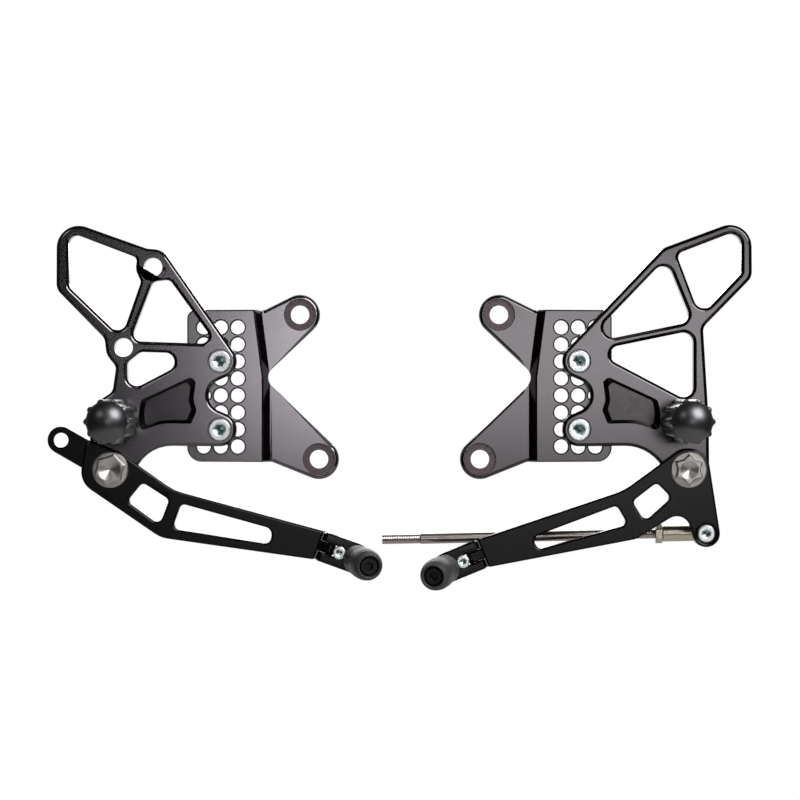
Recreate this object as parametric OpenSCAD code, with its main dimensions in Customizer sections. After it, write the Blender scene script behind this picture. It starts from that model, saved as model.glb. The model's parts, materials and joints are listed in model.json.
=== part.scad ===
// A pair of motorcycle rear sets: a brake side and a gear side, laid side by side.
// Each side is drawn in its own frame: x towards the toe, y into the motorcycle, z up.
// Its origin lies midway between its two frame bolts, on the face that meets the motorcycle.

/* [Pair] */
// Distance between the two toe pegs, along x
toe_apart = 54.3; // [50:0.1:110]

/* [Frame plate] */
// Half the distance between the two frame bolts, along x
frame_bolt_x = 5.6; // [4:0.1:9]
// Half the distance between the two frame bolts, along z
frame_bolt_z = 42.6; // [41:0.1:46]
// Radius of the frame bolt holes
frame_hole_r = 5.5; // [4:0.1:6]
// Radius of the bosses round the frame bolts
frame_boss_r = 11.8; // [10.5:0.1:13]
// Radius of the counterbores for the frame bolt heads
frame_seat_r = 9.3; // [8:0.1:10]
// Depth of those counterbores
frame_seat_depth = 1.6; // [0.8:0.1:3]
// Thickness of the two arms
arm_t = 9; // [8.6:0.1:12]
// Thickness of the drilled plate
grid_t = 8; // [6:0.1:10]
// How far the face of the drilled plate stands in front of the face of the arms
grid_step = 7; // [4:0.1:9]
// Distance between neighbouring adjustment holes
grid_pitch = 10; // [9.4:0.1:10.6]
// Columns of adjustment holes
grid_columns = 3; // [3:1:4]
// Rows of adjustment holes
grid_rows = 8; // [8:2:10]
// Place of the first column, behind the frame bolts
grid_x = 42; // [40:0.1:44]
// Radius of an adjustment hole
grid_hole_r = 4.1; // [4.06:0.01:4.4]

/* [Hanger] */
// Thickness of the hanger
hanger_t = 12; // [10:0.1:14]
// Radius of the lobes round the two hanger bolts
bolt_boss_r = 9.8; // [9:0.1:10.6]
// Radius of the boss that carries the peg
peg_boss_r = 15.8; // [15:0.1:17]
// Radius of the lug that carries the lever pivot
pivot_lug_r = 12.3; // [11.5:0.1:13]
// Depth of the pocket milled in the face
pocket_depth = 4; // [2:0.1:6]
// How much wider the mouth of the pocket is than its floor
pocket_flare = 1.24; // [1.1:0.01:1.3]
// Distance between the two master cylinder holes
cylinder_pitch = 50; // [48:0.1:51]
// Lean of the line through those holes, from upright
cylinder_lean = 20; // [18:0.5:22]
// Radius of the master cylinder holes
cylinder_hole_r = 5.5; // [3:0.1:6]
// Radius of the spot face round the upper hole
cylinder_seat_r = 8; // [7:0.1:9]

/* [Hanger bolts] */
// Radius of the shank
bolt_r = 4; // [3:0.01:4.04]
// Radius of the head
bolt_head_r = 6.5; // [5.5:0.1:7]
// Height of the head
bolt_head_h = 7; // [5:0.1:8]
// Distance across the flats of the socket
bolt_key = 6; // [4:0.1:7]
// Depth of the head's recess in the hanger
bolt_recess = 6; // [4:0.1:7]
// Distance across the flats of the nut
nut_af = 13; // [12:0.1:14]
// Height of the nut
nut_h = 6.5; // [5:0.1:8]

/* [Foot peg] */
// Place of the peg, behind the frame bolts
peg_x = 112; // [110:0.1:114]
// Place of the peg, below the frame bolts
peg_z = 20; // [18:0.1:21]
// Length of the peg
peg_length = 85; // [70:1:100]
// Radius over the teeth
peg_r = 13.2; // [12:0.1:14]
// Radius of the plain root against the hanger
peg_root_r = 11.4; // [10.5:0.1:12]
// Length of that root
peg_root_h = 12; // [11:0.1:14]
// Number of flutes
peg_flutes = 10; // [8:1:12]
// Radius of one flute
peg_flute_r = 3.4; // [2.5:0.1:4]
// Height of the domed end
peg_dome_h = 7; // [4:0.1:9]
// Width of the rings cut round the grip
peg_ring_w = 2; // [1:0.1:3]
// Depth of those rings
peg_ring_depth = 1.8; // [0.8:0.1:2.4]
// Radius of the peg bolt
peg_bolt_r = 5; // [4:0.1:6]

/* [Lever pivot] */
// Place of the pivot, behind the frame bolts
pivot_x = 115.2; // [114:0.1:116]
// Place of the pivot, below the frame bolts
pivot_z = 48.2; // [47.5:0.1:50]
// Radius of the shoulder that the lever turns on
pivot_r = 6; // [5:0.1:6.5]
// Wall of the bush in the lever
bush_wall = 2; // [1:0.1:2.4]
// Thickness of the thrust washer
washer_t = 0.9; // [0.5:0.1:2]
// Radius of the flange of the pivot bolt
pivot_flange_r = 10.5; // [9.5:0.1:11]
// Thickness of that flange
pivot_flange_t = 2; // [1:0.1:3]
// Radius of the thread of the pivot bolt
pivot_thread_r = 4; // [3:0.1:5]

/* [Levers] */
// Thickness of a lever
lever_t = 9.1; // [8:0.1:11]
// Length from the pivot to the toe peg
lever_length = 151; // [148:0.5:156]
// Slope of the brake lever
brake_slope = 19.7; // [17:0.1:22]
// Slope of the gear lever
shift_slope = 21.9; // [20:0.1:24]
// Thickness of the rear tab of the brake lever
tab_t = 5; // [3:0.1:7]
// Radius of the hole in that tab
tab_hole_r = 4.3; // [3:0.1:5]
// Radius of the end of that tab
tab_r = 7.9; // [7:0.1:9]

/* [Folding toe] */
// Radius of the fold pin
fold_pin_r = 2; // [1.5:0.1:2.4]
// Height of the middle knuckle
knuckle_h = 6; // [5:0.1:7]
// Gap between the lever and the folding block
fold_gap = 0.4; // [0.3:0.05:0.6]
// Forward lean of the toe peg
toe_lean = 15; // [8:1:18]
// Length of the toe peg
toe_length = 36; // [28:1:42]
// Radius of the toe peg
toe_r = 9.2; // [8:0.1:10]
// Number of ridges on the toe peg
toe_ridges = 5; // [4:1:6]

/* [Gear rod] */
// Length of the rod end, from its eye to its mouth
rod_end_length = 24.7; // [22:0.1:28]
// Length from the eye to the free end of the rod
rod_reach = 188.8; // [150:0.1:200]
// Radius of the thread at the free end of the rod
rod_r = 2.8; // [2.5:0.1:3.2]
// Radius of the shank of the rod end
rod_end_r = 4.7; // [4.2:0.1:4.8]
// Radius of the ball
ball_r = 6.2; // [6.1:0.1:6.4]
// Length of the ball along its bolt
ball_w = 10; // [9.8:0.1:10.2]
// Radius of the eye
eye_r = 8; // [7.8:0.1:9]
// Thickness of the eye
eye_t = 6.4; // [5:0.1:7]
// Slope of the rod
rod_slope = 1.2; // [0:0.1:3]
// Radius of the bolt through the ball
link_bolt_r = 3; // [2.5:0.1:3.2]

/* [Hidden] */
$fn = 64;

black = "#1b1a1c";
silver = "#c6c7c5";
bronze = "#a9835a";
zinc = "#b3a884";
steel = "#8f8a86";
rubber = "#3a3b3c";

arc_step = 10;
running_play = 0.05;
fixed_play = 0.02;
side_play = 0.1;
cut = 1;

// From the origin of the brake side to that of the gear side
pair_gap = toe_apart - 2 * pivot_x + lever_length * (cos(brake_slope) + cos(shift_slope));

arm_face = -arm_t;
grid_face = arm_face - grid_step;
grid_back = grid_face + grid_t;
hanger_back = grid_face;
hanger_face = hanger_back - hanger_t;
lever_back = hanger_face - washer_t - side_play;
lever_face = lever_back - lever_t;

bolt_x = -grid_x - grid_pitch;
bolt_z = [1.5 * grid_pitch, -2.5 * grid_pitch];
frame_bolts = [[-frame_bolt_x, frame_bolt_z], [frame_bolt_x, -frame_bolt_z]];
peg = [-peg_x, -peg_z];
pivot = [-pivot_x, -pivot_z];
cylinder_low = [-108.2, 23];
cylinder_high = cylinder_low + cylinder_pitch * [sin(cylinder_lean), cos(cylinder_lean)];

// Lever frame: x along the lever from the pivot, z square to it
tip_x = lever_length - 21.8;
tip_top = 8;
tip_foot = -9.3;
fold_nose_r = 6.2;
fold_x = tip_x + fold_gap + fold_nose_r;
fold_y = lever_back - lever_t / 2;
knuckle_r = 3.2;
knuckle_z = -0.6;
knuckle_play = 0.2;
toe = [lever_length, -0.6];
toe_pad_h = 2.5;
toe_neck_r = 4.8;
toe_pad_r = toe_neck_r + 0.3;
toe_neck_h = 5;
toe_screw_r = 2.9;
lock_r = 1.5;
lock_head_r = 3.8;
lock_head_h = 2.2;
lock_x = toe.x - toe_pad_r / cos(toe_lean) - lock_head_r - 0.15;
link = [4.3, -38.4];
link_head_r = 5.2;
link_head_h = 3.2;
link_recess = 2.6;
bush_r = pivot_r + running_play + bush_wall;
ball_y = lever_back + ball_w / 2;
rod_bar_r = rod_r + 0.25;

// Direction of travel from one circle of a belt to the next
function heading(p, q) =
    let (d = [q.x - p.x, q.y - p.y])
    atan2(d.y, d.x) + asin((p[2] - q[2]) / norm(d));

// Angle turned round one circle: leftwards on a convex one, rightwards on a concave one
function swing(a, b, r) =
    let (t = ((b - a) % 360 + 360) % 360)
    r < 0 ? (t < 5 ? t : t - 360) : (t > 355 ? t - 360 : t);

// Outline that runs anticlockwise round circles [x, z, radius]; a negative radius is a hollow
function belt(c) = [
    for (i = [0 : len(c) - 1])
        let (
            last = c[(i + len(c) - 1) % len(c)],
            here = c[i],
            next = c[(i + 1) % len(c)],
            a = heading(last, here),
            t = swing(a, heading(here, next), here[2]),
            n = here[2] == 0 ? 0 : max(1, ceil(abs(t) / arc_step))
        )
        for (k = [0 : n])
            let (h = a + (n == 0 ? 0 : t * k / n))
            [here.x + here[2] * sin(h), here.y - here[2] * cos(h)]
];

function unit(v) = v / norm(v);

// Polygon [x, z, radius] with each corner rounded by its own radius
function rounded(c) = [
    for (i = [0 : len(c) - 1])
        let (
            b = [c[i].x, c[i].y],
            to_last = unit([c[(i + len(c) - 1) % len(c)].x, c[(i + len(c) - 1) % len(c)].y] - b),
            to_next = unit([c[(i + 1) % len(c)].x, c[(i + 1) % len(c)].y] - b),
            half = acos(to_last * to_next) / 2,
            centre = b + unit(to_last + to_next) * c[i][2] / sin(half),
            from = b + to_last * c[i][2] / tan(half) - centre,
            side = to_last.x * to_next.y - to_last.y * to_next.x > 0 ? -1 : 1,
            n = ceil((180 - 2 * half) / arc_step)
        )
        for (k = [0 : n])
            let (a = side * (180 - 2 * half) * k / n)
            centre + [from.x * cos(a) - from.y * sin(a), from.x * sin(a) + from.y * cos(a)]
];

// Plate with an outline in x and z, from y = low to y = high
module slab(outline, low, high) {
    translate([0, high, 0]) rotate([90, 0, 0]) linear_extrude(high - low) polygon(outline);
}

// Round bar along y through [x, z], from y = low to y = high
module bar(at, r, low, high) {
    translate([at.x, high, at.y]) rotate([90, 0, 0]) cylinder(r = r, h = high - low);
}

// Hexagonal bar along y, by the distance across its flats
module hex_bar(at, af, low, high) {
    translate([at.x, high, at.y]) rotate([90, 0, 0]) cylinder(r = af / sqrt(3), h = high - low, $fn = 6);
}

module gear_side() {
    translate([pair_gap, 0, 0]) mirror([1, 0, 0]) children();
}

module along_lever(slope) {
    translate([pivot.x, 0, pivot.y]) rotate([0, slope, 0]) children();
}

// Frame of the toe peg: origin on the face of the folding block, -y along the peg
module along_toe() {
    translate([toe.x, lever_face, toe.y]) rotate([0, 0, toe_lean]) children();
}

/* Frame plate */
plate_left = -grid_x - (grid_columns - 1) * grid_pitch - 9.7;
plate_top = (grid_rows - 1) / 2 * grid_pitch + 10.2;
plate_foot = -(grid_rows - 1) / 2 * grid_pitch - 9;
notch = [-17.3, 5.7, -7];
ramp_x = -25.2;
ramp_w = 4;
ramp_lean = 7.25;

function frame_outline() = belt([
    [plate_left + 5, plate_top - 5, 5],
    [plate_left + 8.5, plate_foot + 8.5, 8.5],
    [ramp_x + 2.5, plate_foot - 3.2, -3],
    [frame_bolts[1].x, frame_bolts[1].y, frame_boss_r],
    notch,
    [frame_bolts[0].x, frame_bolts[0].y, frame_boss_r],
    [ramp_x - 2, plate_top + 3.2, -3]
]);

// Relief in front of the arms, with a ramp down from the drilled plate
module arm_relief(lean, from, to) {
    translate([ramp_x, 0, notch.y]) rotate([0, lean, 0]) translate([0, 0, from])
        linear_extrude(to - from)
            polygon([[-ramp_w / 2, grid_face - cut], [-ramp_w / 2, grid_face], [ramp_w / 2, arm_face],
                [90, arm_face], [90, grid_face - cut]]);
}

module frame_plate() {
    color(black) difference() {
        slab(frame_outline(), grid_face, 0);
        arm_relief(-ramp_lean, 0, 70);
        arm_relief(0, -70, 0);
        translate([0, 0, -80]) linear_extrude(160)
            polygon([[plate_left - cut, grid_back], [ramp_x - 12, grid_back], [ramp_x - 5, cut],
                [plate_left - cut, cut]]);
        for (b = frame_bolts) {
            bar(b, frame_hole_r, arm_face - cut, cut);
            bar(b, frame_seat_r, arm_face - cut, arm_face + frame_seat_depth);
        }
        for (column = [0 : grid_columns - 1], row = [0 : grid_rows - 1])
            bar([-grid_x - column * grid_pitch, (row - (grid_rows - 1) / 2) * grid_pitch],
                grid_hole_r, grid_face - cut, grid_back + cut);
    }
}

/* Hangers */
hanger_front = [
    [bolt_x, bolt_z[1], bolt_boss_r],
    [bolt_x + 3, (bolt_z[0] + bolt_z[1]) / 2, -9.7],
    [bolt_x, bolt_z[0], bolt_boss_r]
];
hanger_rear = [
    [peg.x, peg.y, peg_boss_r],
    [pivot.x - 0.6, pivot.y, pivot_lug_r]
];

function brake_hanger_outline() = belt(concat(hanger_front, [
    [cylinder_high.x, cylinder_high.y, 10.5],
    [cylinder_high.x - 1.8, cylinder_high.y + 18.7, -8],
    [-134.5, 81.3, 12.9],
    [-139.3, 60.4, 8.2],
    [-125.1, 25.6, -6],
    [cylinder_low.x, cylinder_low.y, 10.5],
    [-117.9, 10.4, -5],
    [-119.9, 0.4, -5.6]
], hanger_rear, [[-80, -57.6, -23.1]]));

function shift_hanger_outline() = belt(concat(hanger_front, [
    [-105.8, 74.3, 8],
    [-140.1, 81.9, 12.8],
    [-145, 67.3, 8],
    [-130.6, 32.5, -6]
], hanger_rear, [[-78.8, -60.2, -25.7]]));

brake_windows = [
    belt([[-111.7, 38.5, 5.3], [-101.8, 61.3, 3.5], [cylinder_high.x, cylinder_high.y, -9.9],
        [-103.8, 73.4, 3.2], [-135.4, 83.5, 5], [-134.8, 60.7, 5.3]]),
    belt([[-97.4, 31.5, 5], [-62.9, 29.7, 4.4], [-83.4, 58.1, 4.4], [-88.1, 57.5, 4.4]]),
    belt([[-100.3, 6.3, 5.8], [-84, 14.5, 5.5], [-96.8, 15.7, 4.7], [-102.1, 12.2, 4.1]])
];
shift_windows = [
    rounded([[-108.9, 77.7, 3.8], [-146.8, 92.3, 6.3], [-146.8, 66.2, 3], [-122.8, 41, 5.9]]),
    rounded([[-103, 75.2, 5.9], [-118.2, 38.1, 5.9], [-54.7, 25, 5.9]]),
    rounded([[-60, 21, 5.3], [-118.8, 33.1, 5.9], [-118.8, -9.9, 5.9]])
];
// Floor of the milled pocket, from its middle
pocket_middle = [-83.5, -10.5];
pocket_floor = [
    [14.2, 10.8, 1.5], [11.8, 13.2, 2], [-11.4, 2.4, 2.5], [-13.2, -3.5, 20], [-12, -12.6, 2],
    [-2, -8.6, 25], [12, -9, 1.5], [14.6, -2.6, 2], [13, 2.4, 6]
];

module hanger(outline, windows) {
    difference() {
        slab(outline, hanger_face, hanger_back);
        for (w = windows)
            slab(w, hanger_face - cut, hanger_back + cut);
        for (z = bolt_z) {
            bar([bolt_x, z], bolt_r + running_play, hanger_face - cut, hanger_back + cut);
            bar([bolt_x, z], bolt_head_r + 0.4, hanger_face - cut, hanger_face + bolt_recess);
        }
        bar(peg, peg_bolt_r + running_play, hanger_face - cut, hanger_back + cut);
        bar(pivot, pivot_thread_r + running_play, hanger_face - cut, hanger_back + cut);
        translate([pocket_middle.x, hanger_face + pocket_depth, pocket_middle.y]) rotate([90, 0, 0])
            linear_extrude(pocket_depth, scale = pocket_flare) polygon(rounded(pocket_floor));
    }
}

module brake_hanger() {
    color(black) difference() {
        hanger(brake_hanger_outline(), brake_windows);
        for (c = [cylinder_low, cylinder_high])
            bar(c, cylinder_hole_r, hanger_face - cut, hanger_back + cut);
        bar(cylinder_high, cylinder_seat_r, hanger_face - cut, hanger_face + 1);
    }
}

module shift_hanger() {
    color(black) hanger(shift_hanger_outline(), shift_windows);
}

module hanger_bolts() {
    head = hanger_face + bolt_recess;
    color(silver) for (z = bolt_z) difference() {
        union() {
            bar([bolt_x, z], bolt_head_r, head - bolt_head_h, head);
            bar([bolt_x, z], bolt_r, head - cut, grid_back + nut_h + 1.5);
        }
        hex_bar([bolt_x, z], bolt_key, head - bolt_head_h - cut, head - bolt_head_h + 4);
    }
}

module hanger_nuts() {
    color(silver) for (z = bolt_z) difference() {
        hex_bar([bolt_x, z], nut_af, grid_back, grid_back + nut_h);
        bar([bolt_x, z], bolt_r + fixed_play, grid_back - cut, grid_back + nut_h + cut);
    }
}

/* Foot peg */
peg_tip = hanger_face - peg_length;
peg_crown = peg_tip + peg_dome_h;
dome_base_r = peg_r - 1.1;
dome_r = (dome_base_r * dome_base_r + peg_dome_h * peg_dome_h) / (2 * peg_dome_h);
peg_grip = hanger_face - peg_root_h;

module foot_peg() {
    color(black) difference() {
        union() {
            bar(peg, peg_root_r, peg_grip, hanger_face);
            translate([peg.x, peg_grip, peg.y]) rotate([90, 0, 0])
                linear_extrude(peg_grip - peg_crown) difference() {
                    circle(r = peg_r);
                    for (k = [0 : peg_flutes - 1])
                        rotate(360 * (k + 0.5) / peg_flutes) translate([peg_r + peg_flute_r * 0.45, 0])
                            circle(r = peg_flute_r);
                }
            intersection() {
                translate([peg.x, peg_tip + dome_r, peg.y]) sphere(r = dome_r, $fn = 96);
                bar(peg, dome_base_r + 5, peg_tip - cut, peg_crown);
            }
        }
        for (k = [1 : 4])
            let (y = peg_grip - (peg_grip - peg_crown) * k / 5) difference() {
                bar(peg, peg_r + cut, y - peg_ring_w / 2, y + peg_ring_w / 2);
                bar(peg, peg_r - peg_ring_depth, y - peg_ring_w, y + peg_ring_w);
            }
        bar(peg, peg_bolt_r + fixed_play, hanger_face - 30, hanger_face + cut);
    }
}

module peg_bolt() {
    color(steel) difference() {
        union() {
            bar(peg, peg_bolt_r, hanger_face - 26, hanger_back + 1);
            bar(peg, peg_bolt_r * 1.6, hanger_back, hanger_back + 8);
        }
        hex_bar(peg, 8, hanger_back + 3, hanger_back + 8 + cut);
    }
}

/* Lever pivot */
pivot_flange = lever_face - side_play;
pivot_head_h = 4;

// Star with six rounded points
function star(r, wave) = [for (a = [0 : 5 : 355]) (r + wave * cos(6 * a)) * [sin(a), cos(a)]];

module pivot_bolt(star_head) {
    face = pivot_flange - pivot_flange_t;
    color(silver) difference() {
        union() {
            bar(pivot, pivot_thread_r, hanger_face - cut, hanger_back - 0.5);
            bar(pivot, pivot_r, pivot_flange - cut, hanger_face);
            bar(pivot, pivot_flange_r, face, pivot_flange);
            if (star_head)
                translate([pivot.x, face + 0.5, pivot.y]) rotate([90, 0, 0])
                    linear_extrude(pivot_head_h + 0.5) polygon(star(7.4, 0.8));
            else
                bar(pivot, pivot_flange_r - 0.8, face - pivot_head_h, face + 0.5);
        }
        if (star_head)
            translate([pivot.x, face - pivot_head_h - 0.01, pivot.y]) rotate([-90, 0, 0])
                cylinder(r1 = 5.2, r2 = 0, h = 3.4);
        else {
            hex_bar(pivot, 14, face - pivot_head_h - cut, face - pivot_head_h + 2);
            translate([pivot.x, face - pivot_head_h + 1.99, pivot.y]) rotate([-90, 0, 0])
                cylinder(r1 = 6.9, r2 = 0, h = 3.2);
        }
    }
}

module thrust_washer() {
    color(silver) difference() {
        bar(pivot, pivot_flange_r - 0.5, hanger_face - washer_t, hanger_face);
        bar(pivot, pivot_r + fixed_play, hanger_face - washer_t - cut, hanger_face + cut);
    }
}

module lever_bush() {
    color(bronze) difference() {
        bar(pivot, bush_r, lever_face, lever_back);
        bar(pivot, pivot_r + running_play, lever_face - cut, lever_back + cut);
    }
}

/* Levers, in the lever frame */
tip = [[tip_x, tip_foot, 0], [tip_x, tip_top, 0]];

function brake_lever_outline() = belt(concat(tip, [
    [42, 31.4, -30], [0, 0, 11.5], [-14.5, 8, 4], [-3.5, -2.5, 12.8], [41.5, -10, 17]
]));

function shift_lever_outline() = belt(concat(tip, [
    [42.5, 33, -30], [0, 0, 12.4], [link.x, link.y, 7.9], [19.5, -30.3, -8.2], [43, -13.5, 12.5]
]));

brake_lever_windows = [
    rounded([[20.1, -0.7, 3], [38.2, -4.9, 3], [37.9, -20.7, 3.5], [15.4, -14.1, 3]]),
    rounded([[45.5, -4.7, 3], [100.5, -0.7, 4.5], [102.2, -9.6, 3.6], [45.5, -20.3, 3.5]])
];
shift_lever_windows = [
    rounded([[20, -0.1, 3], [37.3, -5, 3], [34.9, -18.5, 3.5], [15.4, -11.3, 3]]),
    rounded([[46.5, -3.8, 3], [99.6, -2.6, 3.6], [98.3, -10.6, 3], [44.7, -16.5, 3]])
];
tab = [-33.1, 6.3];

// Upright round bar along z in the lever frame, on the axis of the fold pin
module fold_bar(r) {
    translate([fold_x, fold_y, tip_foot - cut]) cylinder(r = r, h = tip_top - tip_foot + 2 * cut);
}

// Arc round the fold pin on the side of the pivot, in x and y, from one depth to another
function fold_arc(r, from, to) = [
    for (k = [0 : 8])
        let (a = asin(from / r) + (asin(to / r) - asin(from / r)) * k / 8)
        [-r * cos(a), r * sin(a)]
];

// Upright prism on the fold pin's axis, as high as the lever's tip
module fold_prism(outline) {
    translate([fold_x, fold_y, tip_foot]) linear_extrude(tip_top - tip_foot) polygon(outline);
}

// Hollow seat behind the nose of the folding block
module fold_seat() {
    half = lever_t / 2;
    fold_prism(concat([[tip_x - fold_x - cut, half], [tip_x - fold_x - cut, 0]],
        fold_arc(fold_nose_r + fold_gap, 0, half)));
}

// Middle knuckle of the folding joint
module knuckle() {
    translate([0, fold_y, knuckle_z - knuckle_h / 2]) linear_extrude(knuckle_h)
        polygon(belt([[tip_x - cut, lever_t / 2, 0], [tip_x - cut, -2.3, 0], [fold_x, 0, knuckle_r]]));
}

module lever(outline, windows) {
    difference() {
        union() {
            slab(outline, lever_face, lever_back);
            fold_seat();
            knuckle();
            children();
        }
        for (w = windows)
            slab(w, lever_face - cut, lever_back + cut);
        bar([0, 0], bush_r + fixed_play, lever_face - cut, lever_back + cut);
        fold_bar(fold_pin_r + running_play);
    }
}

module brake_lever() {
    color(black) along_lever(brake_slope) difference() {
        lever(brake_lever_outline(), brake_lever_windows)
            slab(belt([[tab.x, tab.y, tab_r], [-10, 2.2, 8]]), lever_back - tab_t, lever_back);
        bar(tab, tab_hole_r, lever_face - cut, lever_back + cut);
    }
}

module shift_lever() {
    color(black) along_lever(shift_slope) difference() {
        lever(shift_lever_outline(), shift_lever_windows);
        bar(link, link_bolt_r + running_play, lever_face - cut, lever_back + cut);
        bar(link, link_head_r + 0.4, lever_face - cut, lever_face + link_recess);
    }
}

/* Folding toe, in the lever frame */
module toe_block() {
    half = lever_t / 2;
    nose_x = fold_x - sqrt(fold_nose_r * fold_nose_r - half * half);
    slot_x = fold_x + knuckle_r + 0.4;
    slot_z = knuckle_z - knuckle_h / 2 - knuckle_play;
    slot_h = knuckle_h + 2 * knuckle_play;
    color(black) difference() {
        union() {
            slab(belt([[nose_x, tip_top, 0], [nose_x, tip_foot, 0], [toe.x, toe.y, 8.8]]),
                lever_face, lever_back);
            fold_prism(concat(fold_arc(fold_nose_r, -half, half), [[0, half], [0, -half]]));
            along_toe() bar([0, 0], toe_pad_r, -toe_pad_h, 5);
        }
        translate([fold_x - fold_nose_r - cut, lever_face - cut, slot_z])
            cube([slot_x - fold_x + fold_nose_r + cut, lever_t + 2 * cut, slot_h]);
        fold_bar(fold_pin_r + fixed_play);
        along_toe() bar([0, 0], toe_screw_r + fixed_play, -toe_pad_h - cut, 7);
        bar([lock_x, toe.y], lock_r + fixed_play, lever_face - cut, lever_face + 7);
    }
}

module fold_pin() {
    color(steel) translate([fold_x, fold_y, tip_foot + 0.4])
        cylinder(r = fold_pin_r, h = tip_top - tip_foot - 0.8);
}

module toe_peg() {
    body = toe_pad_h + toe_neck_h;
    ridge = (toe_length - toe_neck_h - 4) / toe_ridges;
    color(rubber) along_toe() difference() {
        translate([0, -toe_pad_h, 0]) rotate([90, 0, 0]) rotate_extrude() polygon(concat(
            [[toe_screw_r + fixed_play, 0], [toe_neck_r, 0], [toe_neck_r, toe_neck_h]],
            [for (k = [0 : toe_ridges - 1], p = [[toe_r - 1, 0], [toe_r, 0.22], [toe_r, 0.7], [toe_r - 1.3, 0.78]])
                [p[0], toe_neck_h + ridge * (k + p[1])]],
            [[toe_r - 0.6, toe_length - 4], [toe_r - 0.9, toe_length - 1.6], [toe_r - 2.2, toe_length],
                [6, toe_length], [6, toe_length - 5], [toe_screw_r + fixed_play, toe_length - 5]]));
    }
}

module toe_screw() {
    head = -toe_pad_h - toe_length + 5;
    color(black) along_toe() difference() {
        union() {
            bar([0, 0], toe_screw_r, head - 0.5, 4);
            bar([0, 0], 5, head - 3.6, head);
        }
        hex_bar([0, 0], 4, head - 3.6 - cut, head - 1.4);
    }
}

module lock_screw() {
    color(silver) difference() {
        union() {
            bar([lock_x, toe.y], lock_head_r, lever_face - lock_head_h, lever_face);
            bar([lock_x, toe.y], lock_r, lever_face - cut, lever_face + 6.5);
        }
        hex_bar([lock_x, toe.y], 3, lever_face - lock_head_h - cut, lever_face - 0.8);
    }
}

/* Gear rod, in the lever frame as far as the link bolt */
module along_link() {
    along_lever(shift_slope) translate([link.x, 0, link.y]) children();
}

// Frame of the rod: origin in the middle of the ball, x along the rod
module along_rod() {
    along_link() rotate([0, rod_slope - shift_slope, 0]) translate([0, ball_y, 0]) children();
}

module link_bolt() {
    head = lever_face + link_recess;
    color(silver) along_link() difference() {
        union() {
            bar([0, 0], link_head_r, head - link_head_h, head);
            bar([0, 0], link_bolt_r, head - cut, lever_back + ball_w + 6.5);
        }
        hex_bar([0, 0], 4, head - link_head_h - cut, head - 1.2);
    }
}

module link_nut() {
    low = lever_back + ball_w;
    color(silver) along_link() difference() {
        hex_bar([0, 0], 10, low, low + 5);
        bar([0, 0], link_bolt_r + fixed_play, low - cut, low + 5 + cut);
    }
}

// Half section of a ball of radius r, cut off at half its width
function ball_arc(r, half) = [for (k = [-5 : 5]) let (a = asin(half / r) * k / 5) r * [cos(a), sin(a)]];

module ball() {
    bore = link_bolt_r + fixed_play;
    color(silver) along_rod() rotate([90, 0, 0]) rotate_extrude()
        polygon(concat([[bore, -ball_w / 2]], ball_arc(ball_r, ball_w / 2), [[bore, ball_w / 2]]));
}

module rod_end() {
    seat = let (scale_up = (ball_r + running_play) / ball_r) scale_up * ball_arc(ball_r, ball_w / 2);
    color(zinc) along_rod() difference() {
        union() {
            bar([0, 0], eye_r, -eye_t / 2, eye_t / 2);
            translate([eye_r - 2.5, 0, 0]) rotate([0, 90, 0]) cylinder(r = rod_end_r, h = rod_end_length - eye_r + 2.5);
        }
        rotate([90, 0, 0]) rotate_extrude()
            polygon(concat([[0, -eye_t]], seat, [[0, eye_t]]));
        translate([rod_end_length - 12, 0, 0]) rotate([0, 90, 0]) cylinder(r = rod_bar_r + fixed_play, h = 14);
    }
}

module jam_nut() {
    color(zinc) along_rod() translate([rod_end_length, 0, 0]) rotate([0, 90, 0]) difference() {
        cylinder(r = 10 / sqrt(3), h = 4.2, $fn = 6);
        translate([0, 0, -cut]) cylinder(r = rod_bar_r + fixed_play, h = 4.2 + 2 * cut);
    }
}

// Plain bar, and the thread at its free end as a bar as wide as the crests
module rod() {
    thread = 22;
    low = rod_end_length - 11;
    color(steel) along_rod() rotate([0, 90, 0]) rotate_extrude() polygon([
        [0, low], [rod_bar_r, low], [rod_bar_r, rod_reach - thread - 0.1], [rod_r, rod_reach - thread],
        [rod_r, rod_reach - 1], [rod_r - 0.8, rod_reach], [0, rod_reach]
    ]);
}

frame_plate();  // brake_frame_plate
brake_hanger();
hanger_bolts();  // brake_hanger_bolts
hanger_nuts();  // brake_hanger_nuts
foot_peg();  // brake_peg
peg_bolt();  // brake_peg_bolt
pivot_bolt(false);  // brake_pivot_bolt
thrust_washer();  // brake_thrust_washer
brake_lever();
lever_bush();  // brake_bush
along_lever(brake_slope) toe_block();  // brake_toe_block
along_lever(brake_slope) fold_pin();  // brake_fold_pin
along_lever(brake_slope) toe_peg();  // brake_toe_peg
along_lever(brake_slope) toe_screw();  // brake_toe_screw
along_lever(brake_slope) lock_screw();  // brake_lock_screw
gear_side() frame_plate();  // shift_frame_plate
gear_side() shift_hanger();
gear_side() hanger_bolts();  // shift_hanger_bolts
gear_side() hanger_nuts();  // shift_hanger_nuts
gear_side() foot_peg();  // shift_peg
gear_side() peg_bolt();  // shift_peg_bolt
gear_side() pivot_bolt(true);  // shift_pivot_bolt
gear_side() thrust_washer();  // shift_thrust_washer
gear_side() shift_lever();
gear_side() lever_bush();  // shift_bush
gear_side() along_lever(shift_slope) toe_block();  // shift_toe_block
gear_side() along_lever(shift_slope) fold_pin();  // shift_fold_pin
gear_side() along_lever(shift_slope) toe_peg();  // shift_toe_peg
gear_side() along_lever(shift_slope) toe_screw();  // shift_toe_screw
gear_side() along_lever(shift_slope) lock_screw();  // shift_lock_screw
gear_side() link_bolt();  // shift_link_bolt
gear_side() link_nut();  // shift_link_nut
gear_side() ball();  // shift_ball
gear_side() rod_end();  // shift_rod_end
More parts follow.
